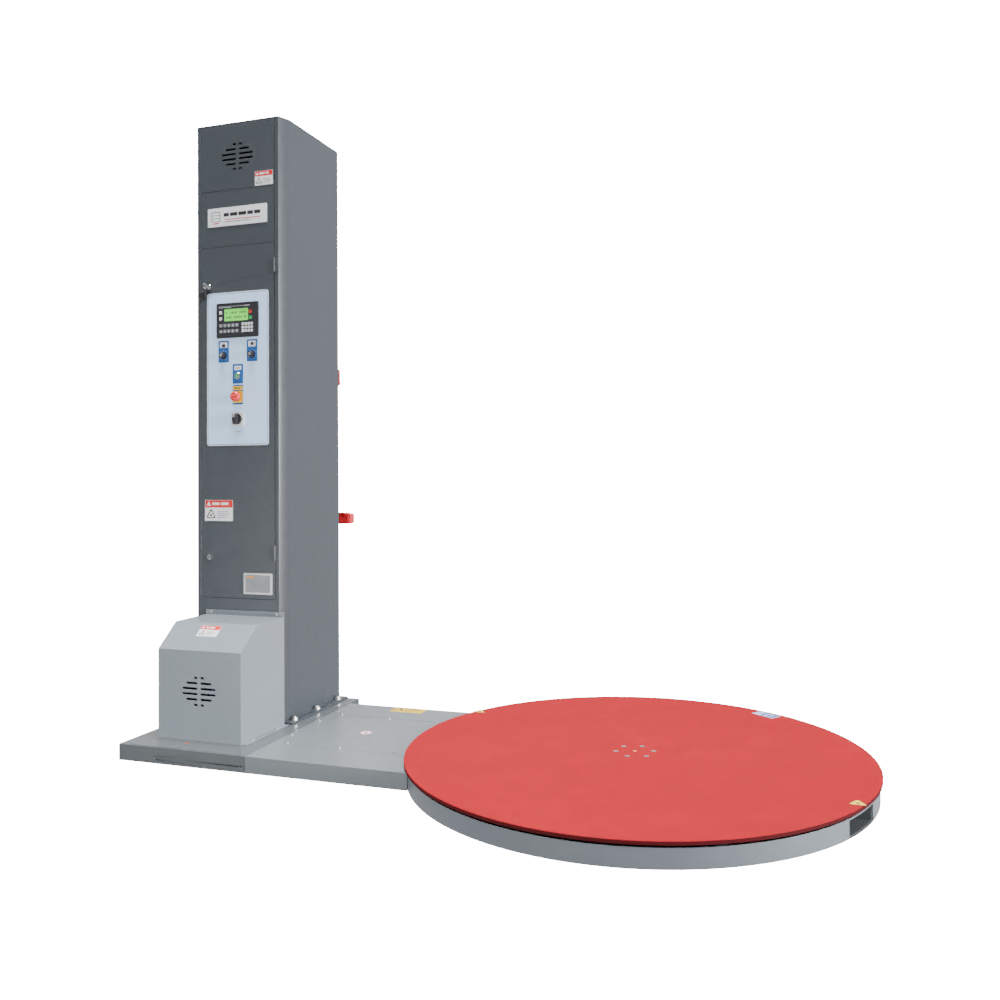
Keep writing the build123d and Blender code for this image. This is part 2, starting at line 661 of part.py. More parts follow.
# Legend plates: two above the dial knobs, one each for the start button and the stop
legend_plates = []
for x, z, down, up, hole in (
    (col_x - knob_dx, knob_z, 28, 63, 5.0),
    (col_x + knob_dx, knob_z, 28, 63, 5.0),
    (col_x, start_z, 32, 50, 11.0 + rub),
    (col_x, stop_z, 32, 50, 11.0),
):
    plate = box(x - 25, x + 25, face_y - 1.5, face_y, z - down, z + up)
    plate = fillet(plate.edges().filter_by(Axis.Y), 3)
    legend_plates.append(plate - rod_y(x, face_y - 5, face_y + 1, z, hole))
parts["legend_plates"] = Compound(children=legend_plates)
plate_y = face_y - 1.5


def dial_knob(x, z):
    knob = rod_y(x, plate_y - 20, plate_y - 4, z, 12.0)
    knob = chamfer(knob.edges().filter_by(GeomType.CIRCLE).sort_by(Axis.Y)[:1], 2)
    knob += rod_y(x, plate_y - 4, plate_y - rub, z, 15.0)
    for i in range(10):
        gx, gz = polar(12.6, 36.0 * i + 18.0)
        knob -= rod_y(x + gx, plate_y - 21, plate_y - 4.01, z + gz, 1.8)
    knob += rod_y(x, plate_y - rub, plate_y + 14, z, 5.0 - fit)
    return knob - box(x - 0.8, x + 0.8, plate_y - 21, plate_y - 18.8, z + 1, z + 13)


parts["knob_left"] = dial_knob(col_x - knob_dx, knob_z)
parts["knob_right"] = dial_knob(col_x + knob_dx, knob_z)

collar = rod_y(col_x, plate_y - 7, plate_y, start_z, 15.0)
collar = chamfer(collar.edges().filter_by(GeomType.CIRCLE).sort_by(Axis.Y)[:1], 2)
collar += rod_y(col_x, plate_y, plate_y + 16, start_z, 11.0)
collar -= rod_y(col_x, plate_y - 8, plate_y + 12, start_z, 9.5 + fit)
parts["start_bezel"] = collar
plunger = rod_y(col_x, plate_y - 7.5, plate_y + 6, start_z, 9.5)
plunger = fillet(plunger.edges().filter_by(GeomType.CIRCLE).sort_by(Axis.Y)[:1], 1.5)
parts["start_button"] = plunger
mushroom = rod_y(col_x, plate_y - 30, plate_y - 12, stop_z, 20.0)
mushroom = fillet(mushroom.edges().filter_by(GeomType.CIRCLE).sort_by(Axis.Y)[:1], 6)
mushroom += rod_y(col_x, plate_y - 13, plate_y + 16, stop_z, 11.0 - fit)
parts["estop_button"] = mushroom
square = box(col_x - 30, col_x + 30, face_y - 5, face_y, main_z - 30, main_z + 30)
square = fillet(square.edges().filter_by(Axis.Y), 4) - rod_y(col_x, face_y - 6, face_y + 1, main_z, 8.0)
parts["main_switch_plate"] = square
turn = rod_y(col_x, face_y - 13, face_y - 5 - rub, main_z, 22.0)
turn += box(col_x - 7, col_x + 7, face_y - 30, face_y - 12, main_z - 21, main_z + 21)
turn += rod_y(col_x, face_y - 6, face_y + 20, main_z, 8.0 - fit)
parts["main_switch_knob"] = turn
tag_z = door_z0 + 18
tag_plate = box(pane_r - 150, pane_r - 13, mast_front - 1, mast_front, tag_z, tag_z + 87)
tag_plate = fillet(tag_plate.edges().filter_by(Axis.Y), 3)
for x in (pane_r - 142, pane_r - 21):
    for z in (tag_z + 7, tag_z + 80):
        tag_plate += rod_y(x, mast_front - 2.2, mast_front - 1, z, 2.6)
parts["data_plate"] = tag_plate

# ---- Control gear on its back plate, behind the door ----
gear_y = mast_front + 150
gear_z = door_top - 1044
gear = box(mast_x0 + sheet, mast_x1 - sheet, gear_y, gear_y + 3, gear_z, gear_z + 950)
for z0, z1, x0, x1, d in (
    (700, 900, -150, -40, 70),
    (700, 900, 0, 110, 70),
    (500, 580, -150, 150, 45),
    (350, 440, -150, 60, 55),
    (100, 260, -150, 130, 40),
):
    gear += box(mast_cx + x0, mast_cx + x1, gear_y - d, gear_y, gear_z + z0, gear_z + z1)
parts["control_gear"] = gear

# ---- Cable gland at the foot of the mast's left side ----
gland_z = deck_top + 118
gland_y = mast_front + 240
gland = Pos(mast_x0, gland_y, gland_z) * Rot(0, -90, 0) * extrude(RegularPolygon(14.0, 6), 8)
gland += rod_x(mast_x0 - 22, mast_x0 - 8, gland_y, gland_z, 10.0)
gland += rod_x(mast_x0 - 1, mast_x0 + sheet + 8, gland_y, gland_z, 8.0)
gland -= rod_x(mast_x0 - 30, mast_x0 + sheet + 9, gland_y, gland_z, 5.0)
parts["cable_gland"] = gland
parts["mast_shell"] -= rod_x(mast_x0 - 1, mast_x0 + sheet + 1, gland_y, gland_z, 8.0 + rub)

# ---- Guide rails on the mast's back wall ----
rails = []
rail_y1 = mast_back - sheet
for s in (-1, 1):
    x0 = mast_cx + s * rail_dx - rail_w / 2
    rails.append(box(x0, x0 + rail_w, rail_y1 - rail_d, rail_y1, deck_top + 58, mast_top - 38))
parts["guide_rails"] = Compound(children=rails)

# ---- Lift gearmotor, sprockets and chain loop ----
lift_box = box(mast_x0 + sheet, mast_cx - 60, lift_y - 55, lift_y + 55, lift_top_z - 60, lift_top_z + 60)
motor_x = mast_x0 + 80
lift_box += rod_y(motor_x, lift_y - 240, lift_y - 50, lift_top_z, 58.0)
for i in range(8):
    a0 = lift_y - 210 + 18 * i
    lift_box += rod_y(motor_x, a0, a0 + 4, lift_top_z, 64.0)
lift_box -= rod_x(mast_cx - 150, mast_cx - 50, lift_y, lift_top_z, 12.0 + fit)
parts["lift_gearmotor"] = lift_box


def upright(shape, z):
    # Turns a part drawn round +Z so that its axis lies along X, and lifts it.
    return Pos(mast_cx, lift_y, z) * Rot(0, 90, 0) * shape


top_wheel = upright(sprocket(lift_r, 12, plate_t, 11.0), lift_top_z)
top_wheel += rod_x(mast_cx - 145, mast_cx + 10, lift_y, lift_top_z, 12.0)
parts["lift_sprocket_top"] = top_wheel
low_wheel = sprocket(lift_r, 12, plate_t, 8.0 + fit)
low_wheel += Cylinder(16.0, 28.0) - Cylinder(8.0 + fit, 40.0)
parts["lift_sprocket_bottom"] = upright(low_wheel, lift_bot_z)
span = lift_top_z - lift_bot_z
lift_loop = chain((-span, 0.0), lift_r, (0.0, 0.0), lift_r, 25.4)
parts["lift_chain"] = Pos(mast_cx, lift_y, lift_top_z) * Rot(0, -90, 0) * lift_loop

# ---- Film carriage ----
in_z0 = car_z0 + 150
in_z1 = car_z1 - 165
in_y = mast_back - sheet - rail_d - 22.0
car = box(mast_cx - 115, mast_cx + 115, in_y - 8, in_y, in_z0, in_z1)
car += box(mast_cx - 50, mast_cx + 50, in_y, mast_back + 14, in_z0 + 20, in_z1 - 20)
car -= box(mast_cx - 44, mast_cx + 44, in_y + 1, mast_back + 13, in_z0, in_z1)
plate_y0 = mast_back + 12.0
clamp_z = (in_z0 + in_z1) / 2 - 30
plate_y1 = plate_y0 + 6.0
car += box(mast_cx - 150, mast_cx + 150, plate_y0, plate_y1, car_z0 + 10, car_z1 - 5)
car += box(mast_cx - 20, mast_cx + 20, lift_y + lift_r + 12.0 + rub, in_y - 7, clamp_z, clamp_z + 60)
parts["carriage_frame"] = car

shoes = []
rail_y0 = mast_back - sheet - rail_d
for s in (-1, 1):
    for z in (in_z0 + 10, in_z1 - 70):
        x = mast_cx + s * rail_dx
        shoe = box(x - 22, x + 22, in_y, rail_y0 + 20, z, z + 60)
        shoe -= box(x - rail_w / 2 - rub, x + rail_w / 2 + rub, rail_y0 - rub, rail_y0 + 40, z - 1, z + 61)
        shoes.append(shoe)
parts["guide_shoes"] = Compound(children=shoes)

arm_y1 = roll_y + 120
beam_y = mast_back + 120
low = [
    (roll_x - 140, plate_y1),
    (mast_cx + 100, plate_y1),
    (mast_cx + 100, mast_back + 160),
    (mast_cx - 10, arm_y1),
    (roll_x - 140, arm_y1),
]
low_top = car_z0 + arm_low_h
arm_low = prism(low, low_top - 10, low_top)
arm_low += box(mast_cx - 270, mast_cx + 207, beam_y, beam_y + 50, car_z0, low_top)
arm_low -= box(mast_cx - 264, mast_cx + 180, beam_y + 3, beam_y + 47, car_z0 - 1, low_top - 14)
arm_low += box(mast_cx + 207, mast_cx + 213, beam_y + 4, beam_y + 46, car_z0 + 5, low_top - 3)
arm_low += box(mast_cx - 140, mast_cx + 90, plate_y1, beam_y, car_z0 + 10, low_top - 10)
arm_low += rod_z(roll_x, roll_y, low_top, low_top + 30, 15.0)
arm_low += box(mast_cx - 270, mast_cx + 190, beam_y - 4, beam_y + 54, low_top - 2, low_top + 4)
idler_x = mast_cx + 55.0
idler_y = mast_back + 90
top_bot = car_z1 - arm_top_h
high = [
    (roll_x - 140, plate_y1),
    (mast_cx + 213, plate_y1),
    (mast_cx + 213, plate_y1 + 16),
    (mast_cx + 100, mast_back + 160),
    (mast_cx - 10, arm_y1),
    (roll_x - 140, arm_y1),
]
arm_top = prism(high, top_bot, top_bot + 10)
arm_top += box(mast_cx - 270, mast_cx + 213, plate_y1, plate_y1 + 14, top_bot, car_z1)
arm_top += box(roll_x - 140, roll_x - 134, plate_y1, arm_y1, top_bot, top_bot + 40)
arm_low -= rod_z(idler_x, idler_y, low_top - 20, low_top + 5, 6.0 + fit)
arm_top -= rod_z(idler_x, idler_y, top_bot - 1, top_bot + 8, 6.0 + fit)
arm_top -= rod_z(roll_x, roll_y, top_bot - 1, top_bot + 11, 10.0 + fit)
parts["lower_arm"] = arm_low
parts["upper_arm"] = arm_top

seat_z = low_top + 16.0
mandrel = rod_z(roll_x, roll_y, seat_z - 8, seat_z, 70.0)
mandrel += rod_z(roll_x, roll_y, seat_z, top_bot - 30, core_r - 0.5)
mandrel += rod_z(roll_x, roll_y, top_bot - 30, top_bot + 14, 10.0)
mandrel -= rod_z(roll_x, roll_y, seat_z - 10, low_top + 30.3, 15.0 + fit)
parts["roll_holder"] = mandrel
roll = rod_z(roll_x, roll_y, seat_z, seat_z + roll_h, roll_r)
roll -= rod_z(roll_x, roll_y, seat_z - 1, seat_z + roll_h + 1, core_r - 0.5)
parts["film_roll"] = roll
idler = rod_z(idler_x, idler_y, low_top + 6, top_bot - 2, 19.0)
idler += rod_z(idler_x, idler_y, low_top - 9, top_bot + 7, 6.0)
parts["idler_roller"] = idler

os.makedirs("parts", exist_ok=True)
for name, shape in parts.items():
    export_step(shape, "parts/%s.step" % name)
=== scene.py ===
import math
import random

import bmesh
import bpy
from mathutils import Matrix, Vector


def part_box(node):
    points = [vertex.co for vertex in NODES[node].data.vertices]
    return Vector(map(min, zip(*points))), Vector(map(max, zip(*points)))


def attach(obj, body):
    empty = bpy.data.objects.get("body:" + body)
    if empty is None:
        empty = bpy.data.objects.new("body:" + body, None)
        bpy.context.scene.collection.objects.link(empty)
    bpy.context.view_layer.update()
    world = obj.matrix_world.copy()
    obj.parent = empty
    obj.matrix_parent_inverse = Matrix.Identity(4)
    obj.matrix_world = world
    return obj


# Turntable pallet wrapper: looks, printed labels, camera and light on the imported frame. Metres, +Z up.
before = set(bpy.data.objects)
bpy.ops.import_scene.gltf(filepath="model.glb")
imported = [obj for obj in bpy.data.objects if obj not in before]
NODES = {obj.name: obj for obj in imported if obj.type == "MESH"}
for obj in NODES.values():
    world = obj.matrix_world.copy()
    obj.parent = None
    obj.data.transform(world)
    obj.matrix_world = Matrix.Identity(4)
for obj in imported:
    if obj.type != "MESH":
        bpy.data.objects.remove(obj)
B = {name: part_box(name) for name in NODES}
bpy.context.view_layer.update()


# ---------------------------------------------------------------- material tools
def rgba(r, g, b):
    return (r, g, b, 1.0)


def tint(color, k):
    return tuple(min(1.0, c * k) for c in color[:3])


class Mat:
    """A small wrapper round one Principled material and its node tree."""

    def __init__(self, name, color, rough=0.45, metal=0.0, coat=0.0, coat_rough=0.1,
                 transmission=0.0, emission=None, emission_strength=0.0):
        self.mat = bpy.data.materials.new(name)
        self.mat.use_nodes = True
        self.nt = self.mat.node_tree
        self.bsdf = self.nt.nodes["Principled BSDF"]
        self.set("Base Color", rgba(*color))
        self.set("Roughness", rough)
        self.set("Metallic", metal)
        self.set("IOR", 1.5)
        self.set("Coat Weight", coat)
        self.set("Coat Roughness", coat_rough)
        self.set("Transmission Weight", transmission)
        if emission:
            self.set("Emission Color", rgba(*emission))
            self.set("Emission Strength", emission_strength)
        self.coord = self.nt.nodes.new("ShaderNodeTexCoord")
        self.height = None

    def set(self, socket, value):
        self.bsdf.inputs[socket].default_value = value

    def noise(self, scale, detail=4.0, rough=0.55, stretch=(1, 1, 1), distort=0.0):
        mapping = self.nt.nodes.new("ShaderNodeMapping")
        mapping.inputs["Scale"].default_value = stretch
        self.nt.links.new(self.coord.outputs["Object"], mapping.inputs["Vector"])
        n = self.nt.nodes.new("ShaderNodeTexNoise")
        n.inputs["Scale"].default_value = scale
        n.inputs["Detail"].default_value = detail
        n.inputs["Roughness"].default_value = rough
        n.inputs["Distortion"].default_value = distort
        self.nt.links.new(mapping.outputs["Vector"], n.inputs["Vector"])
        return n.outputs["Fac"]

    def cells(self, scale):
        v = self.nt.nodes.new("ShaderNodeTexVoronoi")
        v.inputs["Scale"].default_value = scale
        self.nt.links.new(self.coord.outputs["Object"], v.inputs["Vector"])
        return v.outputs["Distance"]

    def mix(self, fac, a, b):
        m = self.nt.nodes.new("ShaderNodeMix")
        m.data_type = "RGBA"
        for index, value in ((0, fac), (6, a), (7, b)):
            if hasattr(value, "is_linked"):
                self.nt.links.new(value, m.inputs[index])
            else:
                m.inputs[index].default_value = rgba(*value[:3])
        return m.outputs[2]

    def range(self, fac, lo, hi, from_lo=0.0, from_hi=1.0):
        m = self.nt.nodes.new("ShaderNodeMapRange")
        m.inputs["From Min"].default_value = from_lo
        m.inputs["From Max"].default_value = from_hi
        m.inputs["To Min"].default_value = lo
        m.inputs["To Max"].default_value = hi
        self.nt.links.new(fac, m.inputs["Value"])
        return m.outputs["Result"]

    def color_from(self, output):
        self.nt.links.new(output, self.bsdf.inputs["Base Color"])

    def rough_from(self, fac, lo, hi):
        self.nt.links.new(self.range(fac, lo, hi, 0.25, 0.75), self.bsdf.inputs["Roughness"])

    def bump(self, fac, strength=0.2, distance=0.0005):
        b = self.nt.nodes.new("ShaderNodeBump")
        b.inputs["Strength"].default_value = strength
        b.inputs["Distance"].default_value = distance
        self.nt.links.new(fac, b.inputs["Height"])
        if self.height is not None:
            self.nt.links.new(self.height, b.inputs["Normal"])
        self.height = b.outputs["Normal"]
        self.nt.links.new(self.height, self.bsdf.inputs["Normal"])


def paint(name, color, rough=0.35, coat=0.3, grain=700.0, dirt=0.12, bump=0.12, scuff=0.0):
    """Sprayed metal: soft orange peel, slow tone drift, faint grime and a few fine scuffs."""
    m = Mat(name, color, rough, coat=coat, coat_rough=rough * 0.5)
    slow = m.noise(2.2, 5.0, 0.6)
    mid = m.noise(26.0, 6.0, 0.65)
    fine = m.noise(grain, 2.0, 0.5)
    grimy = tint(color, 1.0 - dirt)
    col = m.mix(m.range(slow, 0.0, 1.0, 0.3, 0.7), grimy, tint(color, 1.0 + dirt * 0.5))
    col = m.mix(m.range(mid, 0.0, 0.5, 0.55, 0.8), col, grimy)
    if scuff:
        lines = m.noise(90.0, 8.0, 0.8, stretch=(0.15, 0.15, 2.4), distort=0.6)
        col = m.mix(m.range(lines, 0.0, scuff, 0.66, 0.74), col, tint(color, 1.5))
    m.color_from(col)
    m.rough_from(mid, rough * 0.8, rough * 1.25)
    m.bump(fine, bump, 0.0004)
    m.bump(slow, 0.05, 0.004)
    return m.mat


def metal(name, color, rough=0.3, stretch=(1, 1, 12), grain=320.0, bump=0.1, dirt=0.25):
    """Bare metal with fine lines along its stretched direction and cloudy tarnish."""
    m = Mat(name, color, rough, metal=1.0)
    lines = m.noise(grain, 5.0, 0.7, stretch=stretch)
    slow = m.noise(18.0, 4.0, 0.6)
    col = m.mix(m.range(lines, 0.0, 1.0, 0.3, 0.7), tint(color, 1.0 - dirt), color)
    m.color_from(m.mix(m.range(slow, 0.0, 0.6, 0.5, 0.8), col, tint(color, 1.0 - dirt * 1.4)))
    m.rough_from(lines, rough * 0.7, rough * 1.5)
    m.bump(lines, bump, 0.0002)
    return m.mat


def plastic(name, color, rough=0.4, grain=1400.0, bump=0.08, coat=0.0, drift=0.06):
    """Moulded or printed plastic with a fine grain and a slight drift in tone."""
    m = Mat(name, color, rough, coat=coat)
    fine = m.noise(grain, 2.0, 0.5)
    slow = m.noise(30.0, 4.0, 0.6)
    m.color_from(m.mix(m.range(slow, 0.0, 1.0, 0.35, 0.7), tint(color, 1.0 - drift), tint(color, 1.0 + drift)))
    m.rough_from(slow, rough * 0.85, rough * 1.2)
    m.bump(fine, bump, 0.0002)
    return m.mat


def disk_paint(name, color, edge):
    """Anti-slip paint: gritty bump, mottled tone, faint scuffs, and painted shade on the rim: faces turned
    away from up take the darker edge colour.
    """
    m = Mat(name, color, 0.62)
    m.set("Specular IOR Level", 0.05)
    grit = m.noise(520.0, 3.0, 0.6)
    grains = m.cells(420.0)
    blot = m.noise(9.0, 7.0, 0.62)
    broad = m.noise(1.7, 3.0, 0.5)
    col = m.mix(m.range(blot, 0.0, 1.0, 0.35, 0.68), tint(color, 0.90), tint(color, 1.07))
    col = m.mix(m.range(broad, 0.0, 0.6, 0.4, 0.7), col, tint(color, 0.92))
    col = m.mix(m.range(grit, 0.0, 0.35, 0.52, 0.75), col, tint(color, 0.78))
    marks = m.noise(5.0, 10.0, 0.75, distort=2.0)
    col = m.mix(m.range(marks, 0.0, 0.25, 0.62, 0.70), col, tint(color, 1.22))
    geo = m.nt.nodes.new("ShaderNodeNewGeometry")
    sep = m.nt.nodes.new("ShaderNodeSeparateXYZ")
    m.nt.links.new(geo.outputs["Normal"], sep.inputs["Vector"])
    # painted shade: side faces, found by their normal, blend to the darker rim colour
    side = m.range(sep.outputs["Z"], 1.0, 0.0, 0.2, 0.8)
    m.color_from(m.mix(side, col, edge))
    m.rough_from(blot, 0.5, 0.72)
    m.bump(grains, 0.35, 0.0006)
    m.bump(grit, 0.3, 0.0005)
    return m.mat


def lcd_glass(name):
    m = Mat(name, (0.12, 0.55, 0.06), 0.12, coat=0.6, emission=(0.16, 0.85, 0.08), emission_strength=0.55)
    glow = m.noise(24.0, 2.0, 0.5)
    m.color_from(m.mix(m.range(glow, 0.0, 1.0, 0.3, 0.7), (0.10, 0.48, 0.05), (0.16, 0.62, 0.08)))
    m.bump(m.noise(900.0, 1.0), 0.02, 0.0001)
    return m.mat


def wound_film(name):
    """Wound stretch film: fine layer lines round the roll under a glossy skin."""
    m = Mat(name, (0.70, 0.76, 0.80), 0.18, coat=0.7, transmission=0.15)
    layers = m.noise(60.0, 6.0, 0.7, stretch=(1, 1, 30))
    slow = m.noise(12.0, 4.0, 0.6)
    m.color_from(m.mix(m.range(layers, 0.0, 1.0, 0.35, 0.7), (0.58, 0.65, 0.70), (0.80, 0.84, 0.86)))
    m.rough_from(slow, 0.12, 0.3)
    m.bump(layers, 0.25, 0.0006)
    return m.mat


# ---------------------------------------------------------------- materials
MAST = (0.044, 0.052, 0.061)
COVER = (0.182, 0.210, 0.236)
DECK = (0.138, 0.154, 0.166)
# The foot plate's paint is the deck paint darkened to about 0.6 times: painted shade of the mast and cover
# falling on the foot plate
FOOT_PAINTED_SHADE = (0.082, 0.090, 0.097)
RING = (0.130, 0.147, 0.167)
RED = (0.27, 0.008, 0.013)
# The rim colour is the disk red darkened for the disk's side faces: painted shade
RED_RIM_PAINTED_SHADE = (0.066, 0.007, 0.009)
EVEN = (1, 1, 1)

mats = {
    "mast": paint("mast_paint", MAST, rough=0.38, coat=0.15, grain=300, dirt=0.03, bump=0.012),
    "cover": paint("cover_paint", COVER, rough=0.36, coat=0.25, grain=300, dirt=0.04, bump=0.015),
    "deck": paint("deck_paint", DECK, rough=0.34, grain=800, dirt=0.06, bump=0.05, scuff=0.04),
    "foot": paint("foot_painted_shade", FOOT_PAINTED_SHADE, rough=0.34, grain=800, dirt=0.06, bump=0.05, scuff=0.04),
    "skirt": paint("ring_paint", RING, rough=0.42, coat=0.15, grain=800, bump=0.08, scuff=0.12),
    # The pan paint is the deck colour at 0.55 times: painted shade on the parts under the table and inside the
    # fork pockets; its noise grime is random tone
    "pan": paint("pan_painted_shade", tint(DECK, 0.55), rough=0.55, coat=0.0, dirt=0.2, bump=0.15),
    "disk": disk_paint("disk_red", RED, RED_RIM_PAINTED_SHADE),
    "arm": paint("arm_red", (0.58, 0.02, 0.03), rough=0.28, coat=0.5, dirt=0.08, bump=0.05),
    "steel": metal("plain_steel", (0.55, 0.55, 0.56), 0.34),
    "zinc": metal("zinc", (0.74, 0.74, 0.72), 0.28, stretch=EVEN, grain=160),
    "chain": metal("oiled_chain", (0.20, 0.19, 0.18), 0.35, stretch=EVEN, grain=240, dirt=0.5),
    "cast": paint("cast_iron", (0.06, 0.065, 0.07), rough=0.6, coat=0.0, grain=300, bump=0.35),
    "motor": paint("motor_paint", (0.06, 0.10, 0.15), rough=0.38, coat=0.2, dirt=0.1),
    "chrome": metal("chrome", (0.86, 0.86, 0.88), 0.10, stretch=EVEN, grain=60, bump=0.02, dirt=0.06),
    "alu": metal("brushed_alu", (0.78, 0.78, 0.79), 0.32, stretch=(14, 1, 1)),
    "overlay": plastic("overlay_film", (0.52, 0.71, 0.97), 0.30, coat=0.2, drift=0.02),
    "white": plastic("label_white", (0.70, 0.71, 0.73), 0.34, coat=0.2, drift=0.02),
    "black": plastic("black_plastic", (0.016, 0.016, 0.018), 0.38, bump=0.12),
    "keypad": plastic("keypad_film", (0.022, 0.023, 0.026), 0.32, coat=0.2),
    "blue": plastic("legend_blue", (0.012, 0.085, 0.30), 0.32, coat=0.3),
    "green": plastic("button_green", (0.01, 0.30, 0.10), 0.22, coat=0.6),
    "red_btn": plastic("mushroom_red", (0.66, 0.012, 0.014), 0.24, coat=0.6),
    "grey_pl": plastic("switch_grey", (0.62, 0.64, 0.64), 0.42),
    "nylon": plastic("nylon", (0.80, 0.79, 0.72), 0.45),
    "rubber": plastic("roller_rubber", (0.02, 0.02, 0.022), 0.65, grain=500, bump=0.3),
    "lab_red": plastic("label_red", (0.60, 0.012, 0.016), 0.36, coat=0.2, drift=0.02),
    "lab_yel": plastic("label_yellow", (0.72, 0.46, 0.01), 0.36, coat=0.2, drift=0.03),
    "lab_blk": plastic("label_black", (0.02, 0.02, 0.022), 0.4),
    "lab_gry": plastic("label_grey", (0.20, 0.21, 0.23), 0.4),
    "lab_blu": plastic("label_blue", (0.02, 0.12, 0.42), 0.36, coat=0.2),
    "plate": plastic("etched_plate", (0.22, 0.23, 0.24), 0.35),
    "lab_sky": plastic("label_sky", (0.42, 0.52, 0.80), 0.36, coat=0.2),
    "lab_org": plastic("label_orange", (0.70, 0.26, 0.05), 0.4),
    "key_wht": plastic("key_white", (0.74, 0.77, 0.78), 0.38),
    "key_red": plastic("key_red", (0.55, 0.02, 0.02), 0.36),
    "key_grn": plastic("key_green", (0.02, 0.34, 0.08), 0.36),
    "key_gry": plastic("key_grey", (0.20, 0.21, 0.23), 0.4),
    "lcd_ink": plastic("lcd_ink", (0.02, 0.10, 0.02), 0.4),
    "lcd": lcd_glass("lcd_green"),
    "film": wound_film("wound_film"),
}

NODE_MATS = {
    "mast": ["mast_shell", "top_panel", "name_panel", "door", "door_hinges"],
    "cover": ["motor_cover"],
    "deck": ["bridge_skirts", "bridge_cover"],
    "foot": ["foot_plate"],
    "skirt": ["ring_skirt"],
    "pan": ["base_frame", "table_pan", "roller_brackets", "fork_sleeves"],
    "disk": ["table_disk"],
    "arm": ["lower_arm", "upper_arm", "carriage_frame"],
    "steel": ["drive_sprocket", "guide_rails", "lift_sprocket_top", "lift_sprocket_bottom"],
    "zinc": ["panel_screws", "mast_bolts", "table_screws", "lock_key"],
    "chain": ["drive_chain", "lift_chain"],
    "cast": ["table_hub"],
    "motor": ["drive_gearmotor", "lift_gearmotor"],
    "chrome": ["door_lock", "lower_lock", "start_bezel"],
    "alu": ["data_plate", "roll_holder"],
    "overlay": ["control_overlay"],
    "white": ["name_plate"],
    "black": ["cable_gland", "hmi_housing", "knob_left", "knob_right", "main_switch_knob", "key_tag"],
    "keypad": ["hmi_keypad"],
    "lcd": ["hmi_screen"],
    "blue": ["legend_plates"],
    "green": ["start_button"],
    "red_btn": ["estop_button"],
    "grey_pl": ["main_switch_plate", "control_gear"],
    "nylon": ["guide_shoes"] + [n for n in NODES if n.startswith("support_roller")],
    "rubber": ["idler_roller"],
    "film": ["film_roll"],
}
for key, names in NODE_MATS.items():
    for n in names:
        data = NODES[n].data
        data.materials.clear()
        data.materials.append(mats[key])
        for poly in data.polygons:
            poly.material_index = 0

# Worked edges: a small rounded break on folded and moulded pieces so that they catch light
EDGE_GROUPS = {
    0.0016: ["mast_shell"],
    0.0014: ["foot_plate", "bridge_skirts"],
    0.0012: ["lower_arm", "upper_arm", "main_switch_knob"],
    0.0010: ["carriage_frame", "drive_gearmotor", "lift_gearmotor", "control_gear"],
    0.0008: ["top_panel", "name_panel", "door", "motor_cover", "ring_skirt", "hmi_housing",
             "main_switch_plate", "fork_sleeves", "roll_holder", "guide_rails", "guide_shoes"],
    0.0006: ["bridge_cover", "mast_bolts"],
    0.0004: ["name_plate", "key_tag"],
    0.0003: ["lock_key", "legend_plates"],
    0.0002: ["data_plate", "hmi_keypad"],
}
EDGE = {n: width for width, names in EDGE_GROUPS.items() for n in names}
SHARP_ANGLE = math.radians(35)
BEVEL_ANGLE = math.radians(40)
WELD = 0.00001


def sharpen_group():
    """Splits shading at sharp edges, so flat sheet stays flat and curves stay smooth."""
    g = bpy.data.node_groups.new("sharpen", "GeometryNodeTree")
    g.interface.new_socket("Geometry", in_out="INPUT", socket_type="NodeSocketGeometry")
    g.interface.new_socket("Geometry", in_out="OUTPUT", socket_type="NodeSocketGeometry")
    n_in, n_out = g.nodes.new("NodeGroupInput"), g.nodes.new("NodeGroupOutput")
    smooth = g.nodes.new("GeometryNodeSetShadeSmooth")
    sharp = g.nodes.new("GeometryNodeSetShadeSmooth")
    sharp.domain = "EDGE"
    sharp.inputs["Shade Smooth"].default_value = False
    angle = g.nodes.new("GeometryNodeInputMeshEdgeAngle")
    more = g.nodes.new("FunctionNodeCompare")
    more.operation = "GREATER_THAN"
    more.inputs[1].default_value = SHARP_ANGLE
    g.links.new(angle.outputs["Unsigned Angle"], more.inputs[0])
    g.links.new(n_in.outputs[0], smooth.inputs["Geometry"])
    g.links.new(smooth.outputs["Geometry"], sharp.inputs["Geometry"])
    g.links.new(more.outputs["Result"], sharp.inputs["Selection"])
    g.links.new(sharp.outputs["Geometry"], n_out.inputs[0])
    return g


def work_edges(o, width, group):
    weld = o.modifiers.new("weld", "WELD")
    weld.merge_threshold = WELD
    if width:
        bev = o.modifiers.new("edge", "BEVEL")
        bev.width = width
        bev.segments = 2
        bev.limit_method = "ANGLE"
        bev.angle_limit = BEVEL_ANGLE
        bev.use_clamp_overlap = False
        bev.miter_outer = "MITER_ARC"
    sharpen = o.modifiers.new("sharpen", "NODES")
    sharpen.node_group = group
    weight = o.modifiers.new("weight", "WEIGHTED_NORMAL")
    weight.mode = "FACE_AREA"
    weight.weight = 50
    weight.keep_sharp = True


sharpen_nodes = sharpen_group()
for n, o in NODES.items():
    if "custom_normal" in o.data.attributes:
        o.data.attributes.remove(o.data.attributes["custom_normal"])
    work_edges(o, EDGE.get(n), sharpen_nodes)


# ---------------------------------------------------------------- flat printed pieces, outlines in mm
def rounded(w, h, r, cx=0.0, cy=0.0, seg=6):
    pts = []
    r = min(r, w / 2, h / 2)
    for sx, sy, a0 in ((1, 1, 0), (-1, 1, 90), (-1, -1, 180), (1, -1, 270)):
        for i in range(seg + 1):
            a = math.radians(a0 + 90.0 * i / seg)
            pts.append((cx + sx * (w / 2 - r) + r * math.cos(a), cy + sy * (h / 2 - r) + r * math.sin(a)))
    return pts


